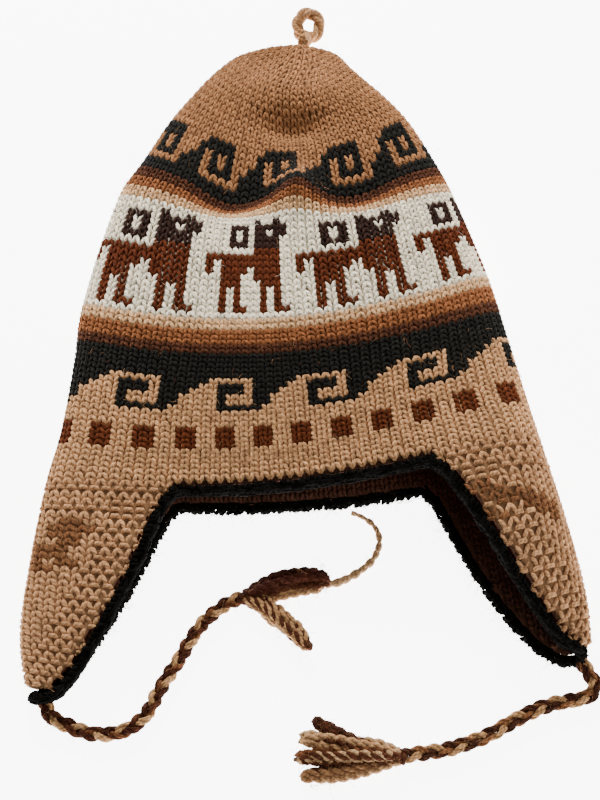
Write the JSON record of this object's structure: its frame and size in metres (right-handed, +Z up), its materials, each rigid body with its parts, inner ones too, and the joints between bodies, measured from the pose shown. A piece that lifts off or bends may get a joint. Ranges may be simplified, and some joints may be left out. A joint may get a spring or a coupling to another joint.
{
  "type": "knitted chullo hat",
  "caption": "Knitted wool hat with folded ear flaps, brown lining, black crocheted edging, a top loop and braided ties that end in looped tassels, lying on its back.",
  "frame": {"origin": "on the table, under the middle of the hat and its flaps and loop, without the ties", "axes": "+X to the right of the hat as it is seen from its brim, +Y from the brim to the top of the crown, +Z up from the table"},
  "size_m": [0.2736, 0.4614, 0.0523],
  "materials": {
    "patterned_knit": "stocking-stitch wool in tan, black, browns and cream, in bands of squares, hooks and llamas",
    "tan_knit": "stocking-stitch tan wool with purl ridges and a small rust motif",
    "brown_knit": "dark reddish brown knit, matt",
    "black_crochet": "crocheted black wool, fuzzy",
    "tan_cord": "twisted tan wool cord",
    "braided_yarn": "three-strand braid of tan and dark brown wool",
    "tassel_yarn": "loops of plied tan and dark brown wool",
    "tan_yarn": "single soft tan yarn"
  },
  "bodies": {
    "root": {"crown": "patterned_knit", "ear_flap_left": "tan_knit", "ear_flap_right": "tan_knit", "lining": "brown_knit", "edging": "black_crochet", "top_loop": "tan_cord", "tie_cord_left": "braided_yarn", "tie_cord_right": "braided_yarn", "tassel_left": "tassel_yarn", "tassel_right": "tassel_yarn", "loose_yarn": "tan_yarn"}
  },
  "joints": []
}
